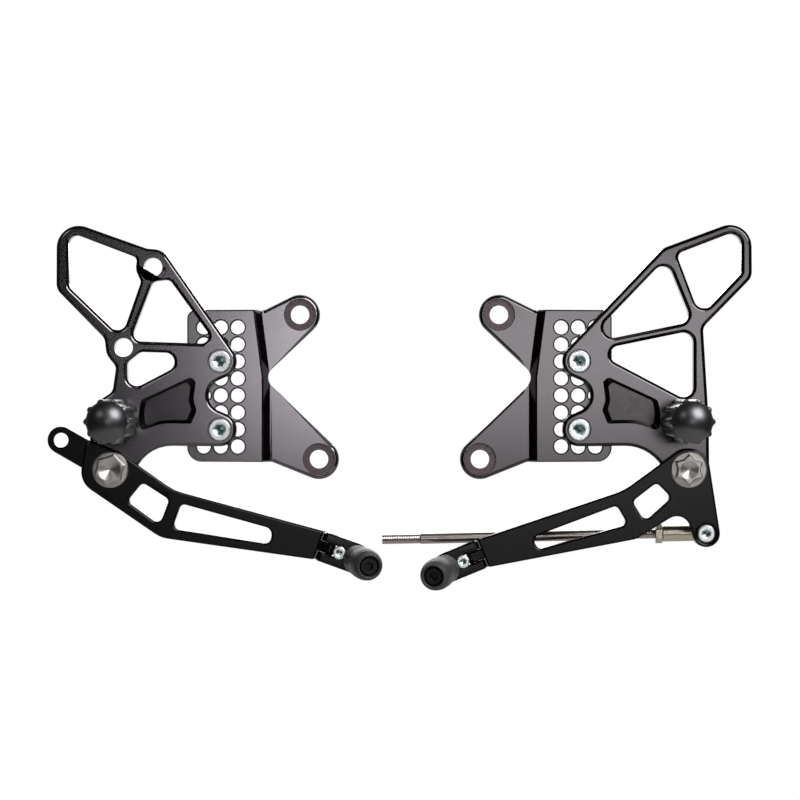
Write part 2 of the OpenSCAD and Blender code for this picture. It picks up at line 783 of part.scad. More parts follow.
gear_side() jam_nut();  // shift_jam_nut
gear_side() rod();  // shift_rod
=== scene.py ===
import json
import math

import bmesh
import bpy
from mathutils import Matrix, Vector


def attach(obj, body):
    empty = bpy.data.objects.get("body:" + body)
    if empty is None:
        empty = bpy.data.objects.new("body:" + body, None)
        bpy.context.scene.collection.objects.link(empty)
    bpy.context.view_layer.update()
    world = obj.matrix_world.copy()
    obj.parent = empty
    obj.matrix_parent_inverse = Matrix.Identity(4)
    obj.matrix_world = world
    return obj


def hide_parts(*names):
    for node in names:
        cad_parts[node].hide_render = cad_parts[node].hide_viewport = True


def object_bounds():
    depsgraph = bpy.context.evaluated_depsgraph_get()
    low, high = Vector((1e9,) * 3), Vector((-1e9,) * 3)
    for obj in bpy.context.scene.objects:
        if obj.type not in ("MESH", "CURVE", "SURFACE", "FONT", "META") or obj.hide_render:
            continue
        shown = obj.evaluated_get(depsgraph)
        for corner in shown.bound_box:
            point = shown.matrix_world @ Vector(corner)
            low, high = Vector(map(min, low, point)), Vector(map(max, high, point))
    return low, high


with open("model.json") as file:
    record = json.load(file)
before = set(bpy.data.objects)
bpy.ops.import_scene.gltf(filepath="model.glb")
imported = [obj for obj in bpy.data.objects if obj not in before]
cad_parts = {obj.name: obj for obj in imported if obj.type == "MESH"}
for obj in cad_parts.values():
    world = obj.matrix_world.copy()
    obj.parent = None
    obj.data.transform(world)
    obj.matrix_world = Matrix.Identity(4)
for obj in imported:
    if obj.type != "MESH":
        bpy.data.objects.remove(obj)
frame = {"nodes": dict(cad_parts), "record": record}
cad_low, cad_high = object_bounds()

bl_info = {
    "name": "Rear sets footrest pair",
    "version": (1, 0, 0),
    "blender": (4, 5, 0),
    "location": "View3D > Sidebar > Rear sets",
    "description": "Machined edges, threads, grips and finishes for a pair of motorcycle rear sets",
    "category": "Object",
}

MM = 0.001
SIDES = ("brake", "shift")
BODY_OF = {
    node: body
    for body, nodes in frame["record"]["behaviour"]["bodies"].items()
    for node in nodes
}

# Places in one side's own frame, in millimetres: x towards the toe, z up
TOE_APART = 54.3
LEVER_LENGTH = 151.0
SLOPES = {"brake": 19.7, "shift": 21.9}
PIVOT = (-115.2, -48.2)
PAIR_GAP = (
    TOE_APART
    + 2 * PIVOT[0]
    + LEVER_LENGTH * sum(math.cos(math.radians(slope)) for slope in SLOPES.values())
)
PEG = (-112.0, -20.0)
BOLTS = ((-52.0, 15.0), (-52.0, -25.0))
FRAME_BOLTS = ((-5.6, 42.6), (5.6, -42.6))
CYLINDER_LOW = (-108.2, 23.0)
CYLINDER_HIGH = (-91.1, 69.98)
NOTCH = (-17.3, 5.7)
NOTCH_REACH = 7.4
GRID = [(-42.0 - 10 * column, 10 * row - 35.0) for column in range(3) for row in range(8)]
GRID_RIM = 4.95
SEAT_REACH = 9.5
SEAT_DEPTH = 1.6
ARM_FACE = -9.0
HANGER_FACE = -28.0
HANGER_BACK = -16.0
LEVER_FACE = -38.1
POCKET_FLOOR = -24.0
POCKET_MIDDLE = (-83.5, -10.5)
POCKET_REACH = 20.5
PEG_BOSS_REACH = 17.0
MILL_CENTRE = (-83.5, -40.0)
TOE = (LEVER_LENGTH, -0.6)
TOE_LEAN = 15.0
TOE_PAD = 2.5
LOCK_SCREW = (TOE[0] - 5.1 / math.cos(math.radians(TOE_LEAN)) - 3.95, TOE[1])
LINK = (4.3, -38.4)
ROD_SLOPE = 1.2
BALL_Y = -24.0
ROD_END_MOUTH = 24.7
ROD_REACH = 188.8
THREAD_PITCH = 1.0
THREAD_CREST = 2.8
NEAR_ROOT = 2.55
FAR_ROOT = 2.6
SHANK_R = 3.05
SHANK_END_R = 2.45

# Degrees between two faces of a milled piece, above which their edge stays sharp
MILLED_SHARP = 18.0


def side_of(node):
    return node.split("_", 1)[0]


def kind_of(node):
    return node.split("_", 1)[1]


def side_matrix(side):
    """From one side's own frame, in millimetres, to the row frame in metres."""
    scale = Matrix.Scale(MM, 4)
    if side == "brake":
        return scale
    mirror = Matrix.Scale(-1, 4, Vector((1, 0, 0)))
    return scale @ Matrix.Translation((PAIR_GAP, 0, 0)) @ mirror


def lever_matrix(side):
    """From the lever's own frame: x along the lever from its pivot, z square to it."""
    place = Matrix.Translation((PIVOT[0], 0, PIVOT[1]))
    return (
        side_matrix(side) @ place @ Matrix.Rotation(math.radians(SLOPES[side]), 4, "Y")
    )


def toe_matrix(side):
    """From the toe peg's frame: its axis is -y, and y = 0 is the face of the folding block."""
    place = Matrix.Translation((TOE[0], LEVER_FACE, TOE[1]))
    return lever_matrix(side) @ place @ Matrix.Rotation(math.radians(TOE_LEAN), 4, "Z")


def rod_matrix():
    """From the gear rod's frame: x along the rod from the middle of its ball."""
    turn = Matrix.Rotation(math.radians(ROD_SLOPE - SLOPES["shift"]), 4, "Y")
    place = Matrix.Translation((LINK[0], 0, LINK[1]))
    return (
        lever_matrix("shift") @ place @ turn @ Matrix.Translation((0, BALL_Y, 0))
    )


# Shader maths


class Wire:
    """A socket of a finish's node tree that Python arithmetic extends with Math nodes."""

    def __init__(self, finish, socket):
        self.finish = finish
        self.socket = socket

    def maths(self, operation, *values):
        return self.finish.node(
            "ShaderNodeMath", {"operation": operation}, dict(enumerate(values))
        )

    def __add__(self, other):
        return self.maths("ADD", self, other)

    def __radd__(self, other):
        return self.maths("ADD", other, self)

    def __sub__(self, other):
        return self.maths("SUBTRACT", self, other)

    def __rsub__(self, other):
        return self.maths("SUBTRACT", other, self)

    def __mul__(self, other):
        return self.maths("MULTIPLY", self, other)

    def __rmul__(self, other):
        return self.maths("MULTIPLY", other, self)

    def sine(self):
        return self.maths("SINE", self)

    def least(self, other):
        return self.maths("MINIMUM", self, other)

    def ramp(self, low, high):
        """0 below low, 1 above high, and smooth between them."""
        settings = {"interpolation_type": "SMOOTHSTEP"}
        return self.finish.node(
            "ShaderNodeMapRange", settings, {0: self, 1: low, 2: high, 3: 0.0, 4: 1.0}
        )


class Finish:
    """A material with one Principled shader, and the patterns that feed it."""

    def __init__(self, name, roughness, metallic=0.0, **steady):
        self.material = bpy.data.materials.new(name)
        self.material.use_nodes = True
        self.tree = self.material.node_tree
        self.tree.nodes.clear()
        output = self.tree.nodes.new("ShaderNodeOutputMaterial")
        self.shader = self.tree.nodes.new("ShaderNodeBsdfPrincipled")
        self.tree.links.new(self.shader.outputs[0], output.inputs[0])
        self.set("Roughness", roughness)
        self.set("Metallic", metallic)
        for socket, value in steady.items():
            self.set(socket.replace("_", " "), value)
        self.place = self.node("ShaderNodeTexCoord", {}, {}, "Object")

    def set(self, socket, value):
        self.plug(self.shader.inputs[socket], value)

    def plug(self, socket, value):
        if isinstance(value, Wire):
            self.tree.links.new(value.socket, socket)
        else:
            socket.default_value = value

    def node(self, kind, settings, sockets, output=0):
        made = self.tree.nodes.new(kind)
        for key, value in settings.items():
            setattr(made, key, value)
        for key, value in sockets.items():
            self.plug(made.inputs[key], value)
        return Wire(self, made.outputs[output])

    def noise(self, scale, detail=2.0, place=None):
        sockets = {"Vector": place or self.place, "Scale": scale, "Detail": detail}
        return self.node("ShaderNodeTexNoise", {}, sockets)

    def stretched(self, scale):
        """Object coordinates scaled along each axis, for marks that run one way."""
        return self.node("ShaderNodeMapping", {}, {0: self.place, "Scale": scale})

    def mark(self, name):
        """A value that the modelling left on the mesh, 0 where it left none."""
        return self.node(
            "ShaderNodeAttribute",
            {"attribute_type": "GEOMETRY", "attribute_name": name},
            {},
            "Fac",
        )

    def blend(self, share, colour_a, colour_b):
        settings = {"data_type": "RGBA", "blend_type": "MIX"}
        return self.node(
            "ShaderNodeMix", settings, {0: share, 6: colour_a, 7: colour_b}, 2
        )

    def bump(self, height, strength, distance):
        sockets = {"Height": height, "Strength": strength, "Distance": distance}
        self.set("Normal", self.node("ShaderNodeBump", {}, sockets))

    def distance_to(self, point):
        settings = {"operation": "DISTANCE"}
        return self.node("ShaderNodeVectorMath", settings, {0: self.place, 1: point}, 1)


def rgba(colour, gain=1.0):
    return tuple(min(1.0, channel * gain) for channel in colour) + (1.0,)


FINISHES = {}


def anodised(name, colour, roughness, grain):
    """Dyed anodising on bead-blasted aluminium, a little brighter on its chamfers: partly edge
    wear, partly a painted highlight.
    """
    finish = Finish(name, roughness, 1.0)
    cloud = finish.noise(38.0, 3.0)
    fine = finish.noise(2600.0, 2.0)
    edge = finish.mark("edge")
    # Chamfer faces blended towards a paler colour: edge wear, and a painted highlight where the
    # chamfers catch light.
    edge_wear_and_sheen = edge * finish.noise(90.0, 2.0).ramp(0.5, 0.8) * 0.06
    body = finish.blend(cloud, rgba(colour, 0.94), rgba(colour, 1.06))
    finish.set("Base Color", finish.blend(edge_wear_and_sheen, body, rgba(colour, 1.8)))
    finish.set("Roughness", roughness + (cloud - 0.5) * 0.03 + (fine - 0.5) * 0.008)
    finish.bump(fine, grain, 0.00003)
    return finish.material


def milled(name, colour, roughness, centre):
    """Anodised floor of a pocket, with the arcs that the end mill left."""
    finish = Finish(name, roughness, 1.0)
    arcs = (finish.distance_to(centre) * 5200.0).sine()
    second_centre = (centre[0] + 0.03, centre[1], centre[2] - 0.02)
    second = (finish.distance_to(second_centre) * 4100.0).sine()
    patch = finish.noise(300.0, 3.0)
    cut = arcs * patch + second * (1.0 - patch)
    finish.set("Base Color", finish.blend(patch, rgba(colour, 0.7), rgba(colour, 1.3)))
    finish.set("Roughness", roughness + cut * 0.04)
    finish.bump(cut, 0.06, 0.00002)
    return finish.material


def turned(name, colour, roughness, centres):
    """Metal turned in a lathe: fine rings round each centre, brighter streaks across them."""
    finish = Finish(name, roughness, 1.0)
    reach = finish.distance_to(centres[0])
    for centre in centres[1:]:
        reach = reach.least(finish.distance_to(centre))
    rings = (reach * 9000.0).sine()
    stain = finish.noise(260.0, 3.0)
    finish.set("Base Color", finish.blend(stain, rgba(colour, 0.9), rgba(colour, 1.08)))
    finish.set("Roughness", roughness + (stain - 0.5) * 0.08)
    finish.bump(rings, 0.12, 0.00002)
    return finish.material


def plated(name, colour, roughness):
    """Zinc plate over turned steel, slightly mottled."""
    finish = Finish(name, roughness, 1.0)
    mottle = finish.noise(520.0, 3.0)
    patch = finish.noise(90.0, 2.0)
    finish.set("Base Color", finish.blend(patch, rgba(colour, 0.8), rgba(colour, 1.1)))
    finish.set("Roughness", roughness + (mottle - 0.5) * 0.16)
    finish.bump(mottle, 0.12, 0.00005)
    return finish.material


def drawn_bar(name, colour, roughness):
    """Cold drawn bar: long faint scratches, and a brown tarnish in patches."""
    finish = Finish(name, roughness, 1.0)
    scratches = finish.noise(1.0, 2.0, finish.stretched((60.0, 2600.0, 2600.0)))
    tarnish = finish.noise(1.0, 2.0, finish.stretched((45.0, 160.0, 160.0)))
    finish.set("Base Color", finish.blend(tarnish, rgba(colour, 0.72), rgba(colour, 1.1)))
    finish.set("Roughness", roughness + (scratches - 0.5) * 0.18)
    finish.bump(scratches, 0.1, 0.00004)
    return finish.material


def moulded_rubber(name, colour, roughness):
    """Moulded rubber: fine satin grain, paler on the rubbed crests."""
    finish = Finish(name, roughness, 0.0, Specular_IOR_Level=0.4)
    grain = finish.noise(1900.0, 3.0)
    rub = finish.mark("edge") * finish.noise(300.0, 2.0).ramp(0.3, 0.7)
    finish.set("Base Color", finish.blend(rub, rgba(colour), rgba(colour, 1.7)))
    finish.set("Roughness", roughness + (grain - 0.5) * 0.15)
    finish.bump(grain, 0.2, 0.00006)
    return finish.material


def row_point(side, x, y, z):
    return side_matrix(side) @ Vector((x, y, z))


def make_finishes(looks):
    """Every finish of the pair, from the panel's colours."""
    for side in SIDES:
        plates = tuple(getattr(looks, side + "_plates"))
        rough = looks.anodised_roughness
        FINISHES["anodised_" + side] = anodised(
            "black_anodised_" + side, plates, rough, 0.06
        )
        middle = row_point(side, MILL_CENTRE[0], POCKET_FLOOR, MILL_CENTRE[1])
        FINISHES["pocket_" + side] = milled(
            "milled_pocket_" + side, tuple(0.5 * c for c in plates), rough, middle
        )
        heads = [row_point(side, x, HANGER_FACE, z) for x, z in BOLTS]
        FINISHES["bolt_" + side] = turned(
            "zinc_bright_bolts_" + side, tuple(looks.bright), 0.36, heads
        )
        FINISHES["screw_" + side] = plated(
            "zinc_bright_screws_" + side, tuple(looks.bright), 0.36
        )
        hub = row_point(side, PIVOT[0], LEVER_FACE, PIVOT[1])
        FINISHES["pivot_" + side] = turned(
            "turned_stainless_" + side, tuple(looks.stainless), 0.4, [hub]
        )
    FINISHES["lever"] = anodised(
        "black_anodised_lever", tuple(looks.levers), looks.lever_roughness, 0.06
    )
    FINISHES["grip"] = anodised("black_anodised_peg", tuple(looks.pegs), 0.36, 0.08)
    FINISHES["seat"] = anodised("anodised_bolt_seat", tuple(looks.seats), 0.4, 0.2)
    FINISHES["rubber"] = moulded_rubber("moulded_rubber", tuple(looks.rubber), 0.55)
    # Near black for the bores and chamfers of the grid holes: painted shade inside the holes.
    FINISHES["bore"] = anodised("anodised_bores", (0.012, 0.011, 0.012), 0.35, 0.06)
    # Greenish zinc, darker than the heads, for the hollows of the screw heads: painted shade in the
    # sockets.
    FINISHES["socket"] = plated("zinc_in_sockets", (0.2, 0.27, 0.26), 0.3)
    FINISHES["oxide"] = anodised("black_oxide_screw", (0.03, 0.03, 0.032), 0.45, 0.2)
    FINISHES["zinc"] = plated("yellow_zinc_plate", tuple(looks.zinc), 0.3)
    FINISHES["rod"] = drawn_bar("drawn_steel_bar", tuple(looks.rod), 0.3)
    FINISHES["bronze"] = plated("sintered_bronze", (0.6, 0.42, 0.24), 0.4)


# Modelling


def joined_copy(node):
    """A bmesh of a CAD node, with its loose triangles joined into flat faces."""
    bm = bmesh.new()
    bm.from_mesh(frame["nodes"][node].data)
    bmesh.ops.remove_doubles(bm, verts=bm.verts, dist=2e-6)
    bmesh.ops.dissolve_limit(
        bm,
        angle_limit=math.radians(0.6),
        verts=bm.verts,
        edges=bm.edges,
        delimit=set(),
    )
    return bm


def edges_where(bm, test, steepest=35.0):
    """Convex edges sharper than steepest degrees whose middle passes the test."""
    return [
        edge
        for edge in bm.edges
        if edge.is_manifold
        and edge.is_convex
        and edge.calc_face_angle() > math.radians(steepest)
        and test((edge.verts[0].co + edge.verts[1].co) / 2, edge)
    ]


def anywhere(place, edge):
    return True


def chamfer(bm, edges, width):
    """Breaks the edges, and leaves the mark "edge" on the faces that this makes; the anodised
    finish paints those lighter, as edge wear and a painted highlight.
    """
    edge_wear_and_sheen = bm.verts.layers.float.get("edge") or bm.verts.layers.float.new("edge")
    made = bmesh.ops.bevel(
        bm,
        geom=edges,
        offset=width,
        offset_type="OFFSET",
        profile_type="SUPERELLIPSE",
        segments=1,
        profile=0.5,
        affect="EDGES",
        clamp_overlap=False,
        material=-1,
        loop_slide=False,
    )
    for vert in made["verts"]:
        vert[edge_wear_and_sheen] = 1.0


def place_piece(bm, name, body, materials, sharpest=28.0):
    """Makes the finished object, shaded smooth up to the given angle, on its body."""
    if not bm.verts.layers.float.get("edge"):
        bm.verts.layers.float.new("edge")
    mesh = bpy.data.meshes.new(name)
    bm.to_mesh(mesh)
    bm.free()
    piece = bpy.data.objects.new(name, mesh)
    bpy.context.scene.collection.objects.link(piece)
    for material in materials:
        mesh.materials.append(material)
    mesh.shade_smooth()
    mesh.set_sharp_from_angle(angle=math.radians(sharpest))
    weighting = piece.modifiers.new("even_normals", "WEIGHTED_NORMAL")
    weighting.keep_sharp = True
    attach(piece, body)
    return piece


def replace_node(bm, node, materials, sharpest=28.0):
    """The piece stands for a CAD node, on that node's body."""
    piece = place_piece(
        bm, node + "_finished", BODY_OF[node], materials, sharpest
    )
    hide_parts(node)
    return piece


def near(place, side, centre, reach):
    """Whether a point lies within reach of an axis along y, in millimetres."""
    middle = row_point(side, centre[0], 0, centre[1])
    return math.hypot(place.x - middle.x, place.z - middle.z) < reach * MM


def at_level(edge, level, play=0.05):
    """Whether an edge lies in the plane y = level, in millimetres."""
    return all(abs(vert.co.y - level * MM) < play * MM for vert in edge.verts)


def mark_faces(bm, material_index, test):
    for face in bm.faces:
        if test(face.calc_center_median(), face):
            face.material_index = material_index


def spun(profile, steps):
    """A closed turned solid: profile points [along -y, radius] in millimetres."""
    bm = bmesh.new()
    verts = [bm.verts.new((radius, -along, 0)) for along, radius in profile]
    edges = [bm.edges.new(pair) for pair in zip(verts, verts[1:])]
    bmesh.ops.spin(
        bm,
        geom=verts + edges,
        cent=(0, 0, 0),
        axis=(0, 1, 0),
        angle=math.tau,
        steps=steps,
        use_merge=True,
        use_duplicate=False,
    )
    bmesh.ops.remove_doubles(bm, verts=bm.verts, dist=1e-4)
    return bm


def ring_of(radius):
    return lambda angle: radius


def knurled(radius, depth, teeth):
    return lambda angle: radius + depth * math.cos(teeth * angle)


def hexagon(across):
    sixth = math.pi / 3
    return lambda angle: across / 2 / math.cos(angle % sixth - sixth / 2)


def star(low, high, turn):
    """Six sharp points with hollow sides, the first of them turn degrees from +x."""
    sixth = math.pi / 3

    def outline(angle):
        ahead = (angle - math.radians(turn)) % sixth
        away = min(ahead, sixth - ahead) / (sixth / 2)
        return low + (high - low) * (1 - away) ** 1.7

    return outline


def stacked(stages, steps=192):
    """A closed solid along -y: rings (place along -y, outline), in millimetres."""
    bm = bmesh.new()
    bmesh.ops.create_circle(bm, cap_ends=True, radius=1, segments=steps)
    ring = bm.edges[:]
    for index, (along, outline) in enumerate(stages):
        if index:
            made = bmesh.ops.extrude_edge_only(bm, edges=ring)["geom"]
            ring = [part for part in made if isinstance(part, bmesh.types.BMEdge)]
        if not callable(outline):
            outline = ring_of(outline)
        for vert in {vert for edge in ring for vert in edge.verts}:
            angle = math.atan2(vert.co.y, vert.co.x)
            reach = outline(angle)
            vert.co = (reach * math.cos(angle), reach * math.sin(angle), along)
    tip = {vert for edge in ring for vert in edge.verts}
    bmesh.ops.pointmerge(bm, verts=list(tip), merge_co=(0, 0, stages[-1][0]))
    turn = Matrix.Rotation(math.radians(90), 4, "X")
    bmesh.ops.transform(bm, matrix=turn, verts=bm.verts)
    return bm


def gathered(parts):
    """One bmesh of several."""
    whole = bmesh.new()
    for part in parts:
        mesh = bpy.data.meshes.new("part")
        part.to_mesh(mesh)
        part.free()
        whole.from_mesh(mesh)
        bpy.data.meshes.remove(mesh)
    return whole


def upright(point):
    return Matrix.Translation((point[0], 0, point[1]))


def settle(bm, matrix):
    """Moves a new mesh to its place and turns its faces outwards."""
    bmesh.ops.transform(bm, matrix=matrix, verts=bm.verts)
    bmesh.ops.recalc_face_normals(bm, faces=bm.faces)


def rounded_path(points, radius, steps=4):
    """The profile with each inner corner rounded, radius in millimetres."""
    path = [points[0]]
    for last, here, following in zip(points, points[1:], points[2:]):
        back = Vector(last) - Vector(here)
        ahead = Vector(following) - Vector(here)
        reach = min(radius, back.length * 0.45, ahead.length * 0.45)
        start = Vector(here) + back.normalized() * reach
        end = Vector(here) + ahead.normalized() * reach
        for step in range(steps + 1):
            share = step / steps
            first = start.lerp(Vector(here), share)
            second = Vector(here).lerp(end, share)
            path.append(tuple(first.lerp(second, share)))
    path.append(points[-1])
    return path


# Sizes and colours in the sidebar


def width_property(name, description, millimetres):
    return bpy.props.FloatProperty(
        name=name,
        description=description,
        default=millimetres * MM,
        unit="LENGTH",
        precision=5,
    )


class RearSetEdges(bpy.types.PropertyGroup):
    """Widths of the broken edges, and the thread of the gear rod"""

    arm: width_property(
        "Arm chamfer", "Width of the chamfer round the two arms of a frame plate", 1.7
    )
    hanger: width_property(
        "Hanger chamfer", "Width of the chamfer round a hanger and its windows", 1.6
    )
    lever: width_property("Lever chamfer", "Width of the broken edges of a lever", 0.8)
    line: width_property(
        "Edge line", "Width of the narrow break between a face and its chamfer", 0.3
    )
    hole: width_property("Hole edge", "Width of the broken edge of a drilled hole", 0.75)
    seat: width_property("Seat edge", "Width of the broken edge of a bolt seat", 0.2)
    screw: width_property(
        "Screw edge", "Width of the rounded edges of screws and nuts", 0.4
    )
    thread: width_property(
        "Thread length", "Length of the thread at either end of the gear rod", 22
    )


def colour_property(name, description, default):
    return bpy.props.FloatVectorProperty(
        name=name, description=description, default=default, size=3, subtype="COLOR"
    )


class RearSetLooks(bpy.types.PropertyGroup):
    """Colours and roughness of the finishes"""

    brake_plates: colour_property(
        "Brake side", "Anodising of the brake side's plates", (0.11, 0.102, 0.111)
    )
    shift_plates: colour_property(
        "Gear side", "Anodising of the gear side's plates", (0.052, 0.048, 0.051)
    )
    levers: colour_property("Levers", "Anodising of the levers", (0.016, 0.015, 0.015))
    pegs: colour_property("Pegs", "Anodising of the foot pegs", (0.1, 0.1, 0.105))
    seats: colour_property("Seats", "Ring round each frame bolt", (0.12, 0.095, 0.1))
    bright: colour_property("Bolts", "Bright zinc of the bolts", (0.8, 0.83, 0.84))
    stainless: colour_property(
        "Stainless", "Turned stainless steel of the pivots", (0.43, 0.41, 0.39)
    )
    zinc: colour_property("Zinc", "Yellow zinc of the rod end", (0.45, 0.42, 0.33))
    rod: colour_property("Rod", "Steel of the gear rod", (0.38, 0.34, 0.32))
    rubber: colour_property("Rubber", "Rubber of the toe pegs", (0.028, 0.028, 0.03))
    anodised_roughness: bpy.props.FloatProperty(
        name="Plate roughness",
        description="Roughness of the anodised plates",
        default=0.16,
        min=0,
        max=1,
    )
    lever_roughness: bpy.props.FloatProperty(
        name="Lever roughness",
        description="Roughness of the anodised levers",
        default=0.24,
        min=0,
        max=1,
    )


class RearSetStudio(bpy.types.PropertyGroup):
    """Camera and lamps"""

    distance: bpy.props.FloatProperty(
        name="Camera distance",
        description="From the lens to the face that meets the motorcycle",
        default=2.2,
        unit="LENGTH",
    )
    picture: bpy.props.FloatProperty(
        name="Picture width",
        description="Width that the camera sees at that face",
        default=0.4736,
        unit="LENGTH",
    )
    front: bpy.props.FloatProperty(
        name="Front lamp", description="Power of the long lamp behind the lens", default=4.5
    )
    key: bpy.props.FloatProperty(
        name="Key lamp", description="Power of the large soft lamp at the upper right", default=40.0
    )
    fill: bpy.props.FloatProperty(
        name="Fill lamp", description="Power of the small soft lamp at the upper left", default=2.0
    )
    back: bpy.props.FloatProperty(
        name="Back lamp", description="Power of the soft lamp behind the pair", default=14.0
    )


# Pieces


class REARSET_OT_finishes(bpy.types.Operator):
    """Makes the finishes"""

    bl_idname = "rearset.finishes"
    bl_label = "Finishes"

    def execute(self, context):
        make_finishes(context.scene.rearset_looks)
        return {"FINISHED"}


class REARSET_OT_frame_plates(bpy.types.Operator):
    """Frame plates: chamfered arms, drilled grid with painted shade in its holes, tinted bolt seats
    """

    bl_idname = "rearset.frame_plates"
    bl_label = "Frame plates"

    def execute(self, context):
        edges = context.scene.rearset_edges
        for side in SIDES:
            node = side + "_frame_plate"
            bm = joined_copy(node)

            def by_bolt(place, reach):
                return any(near(place, side, bolt, reach) for bolt in FRAME_BOLTS)

            def arm(place, edge):
                return (
                    at_level(edge, ARM_FACE)
                    and not by_bolt(place, SEAT_REACH)
                    and not near(place, side, NOTCH, NOTCH_REACH)
                )

            chamfer(bm, edges_where(bm, arm), edges.arm)
            chamfer(bm, edges_where(bm, arm), edges.line)
            seats = edges_where(bm, lambda p, e: by_bolt(p, SEAT_REACH))
            chamfer(bm, seats, edges.seat)
            rest = edges_where(
                bm,
                lambda p, e: not at_level(e, ARM_FACE)
                and not by_bolt(p, SEAT_REACH + 0.5)
                and not near(p, side, NOTCH, NOTCH_REACH),
            )
            chamfer(bm, rest, edges.hole)
            # The bores and chamfers of the grid holes take the near-black bore finish: painted
            # shade in the holes.
            mark_faces(
                bm,
                2,
                lambda p, f: any(
                    all(near(v.co, side, hole, GRID_RIM) for v in f.verts) for hole in GRID
                ),
            )
            seat = (ARM_FACE + SEAT_DEPTH) * MM
            mark_faces(
                bm,
                1,
                lambda p, f: abs(p.y - seat) < 0.1 * MM
                and abs(f.normal.y) > 0.9
                and any(by_bolt(v.co, SEAT_REACH - 0.1) for v in f.verts),
            )
            finishes = [FINISHES["anodised_" + side], FINISHES["seat"], FINISHES["bore"]]
            replace_node(bm, node, finishes, MILLED_SHARP)
        return {"FINISHED"}


class REARSET_OT_hangers(bpy.types.Operator):
    """Hangers: chamfered outline and windows, milled pocket, holes"""

    bl_idname = "rearset.hangers"
    bl_label = "Hangers"

    def execute(self, context):
        edges = context.scene.rearset_edges
        for side in SIDES:
            node = side + "_hanger"
            bm = joined_copy(node)
            holes = [(bolt, 7.2) for bolt in BOLTS] + [(PEG, 6.0), (PIVOT, 5.0)]
            if side == "brake":
                holes += [(CYLINDER_LOW, 6.0), (CYLINDER_HIGH, 8.4)]

            def by_hole(place):
                return any(near(place, side, centre, reach) for centre, reach in holes)

            def in_pocket(place):
                return near(place, side, POCKET_MIDDLE, POCKET_REACH) and not near(
                    place, side, PEG, PEG_BOSS_REACH
                )

            def outline(place, edge):
                return at_level(edge, HANGER_FACE) and not by_hole(place)

            pocket_rim = set(
                edges_where(
                    bm,
                    lambda p, e: at_level(e, HANGER_FACE)
                    and any(-0.95 < f.normal.y < -0.2 for f in e.link_faces),
                    15.0,
                )
            )
            outer = [e for e in edges_where(bm, outline) if e not in pocket_rim]
            chamfer(bm, outer, edges.hanger)
            inner = edges_where(
                bm,
                lambda p, e: outline(p, e) and not near(p, side, CYLINDER_HIGH, 12.0),
            )
            chamfer(bm, [e for e in inner if e not in pocket_rim], edges.line)
            chamfer(bm, edges_where(bm, lambda p, e: by_hole(p)), edges.seat)
            rest = edges_where(bm, lambda p, e: at_level(e, HANGER_BACK) and not by_hole(p))
            chamfer(bm, rest, edges.hole)
            floor = POCKET_FLOOR * MM
            mark_faces(
                bm,
                1,
                lambda p, f: abs(p.y - floor) < 0.02 * MM
                and abs(f.normal.y) > 0.9
                and in_pocket(p),
            )
            finishes = [FINISHES["anodised_" + side], FINISHES["pocket_" + side]]
            replace_node(bm, node, finishes, MILLED_SHARP)
        return {"FINISHED"}


class REARSET_OT_levers(bpy.types.Operator):
    """Levers and their folding blocks, with broken edges"""

    bl_idname = "rearset.levers"
    bl_label = "Levers"

    def execute(self, context):
        edges = context.scene.rearset_edges
        for side in SIDES:
            for kind in ("lever", "toe_block"):
                node = f"{side}_{kind}"
                bm = joined_copy(node)
                chamfer(bm, edges_where(bm, anywhere), edges.lever)
                front = edges_where(bm, lambda p, e: at_level(e, LEVER_FACE))
                chamfer(bm, front, edges.line)
                replace_node(bm, node, [FINISHES["lever"]], MILLED_SHARP)
        return {"FINISHED"}


class REARSET_OT_foot_pegs(bpy.types.Operator):
    """Foot pegs: fluted grips with a domed end"""

    bl_idname = "rearset.foot_pegs"
    bl_label = "Foot pegs"

    def execute(self, context):
        width = context.scene.rearset_edges.hole
        for side in SIDES:
            bm = joined_copy(side + "_peg")
            chamfer(bm, edges_where(bm, anywhere, 40.0), width)
            replace_node(bm, side + "_peg", [FINISHES["grip"]], 40.0)
        return {"FINISHED"}


class REARSET_OT_toe_pegs(bpy.types.Operator):
    """Toe pegs: ridged rubber barrels with a socket for their screw"""

    bl_idname = "rearset.toe_pegs"
    bl_label = "Toe pegs"

    def execute(self, context):
        neck = [(0.0, 2.92), (0.0, 4.8), (4.6, 4.8), (4.6, 7.6)]
        ridges = []
        for ridge in range(4):
            start = 5.0 + 3.5 * ridge
            crest = 8.4 + 0.16 * ridge
            ridges += [
                (start, crest),
                (start + 2.6, crest + 0.15),
                (start + 2.8, crest - 0.75),
                (start + 3.3, crest - 0.75),
            ]
        nose = [(19.2, 9.15), (27.5, 9.15), (31.6, 8.6), (33.6, 7.8), (33.8, 7.3), (35.4, 7.2)]
        nose += [(36.0, 6.8), (36.0, 6.3), (35.4, 5.9), (31.0, 5.6), (31.0, 2.92)]
        for side in SIDES:
            bm = spun(rounded_path(neck + ridges + nose + neck[:1], 0.6), 64)
            settle(bm, toe_matrix(side) @ Matrix.Translation((0, -TOE_PAD, 0)))
            replace_node(bm, side + "_toe_peg", [FINISHES["rubber"]], 50.0)
        return {"FINISHED"}


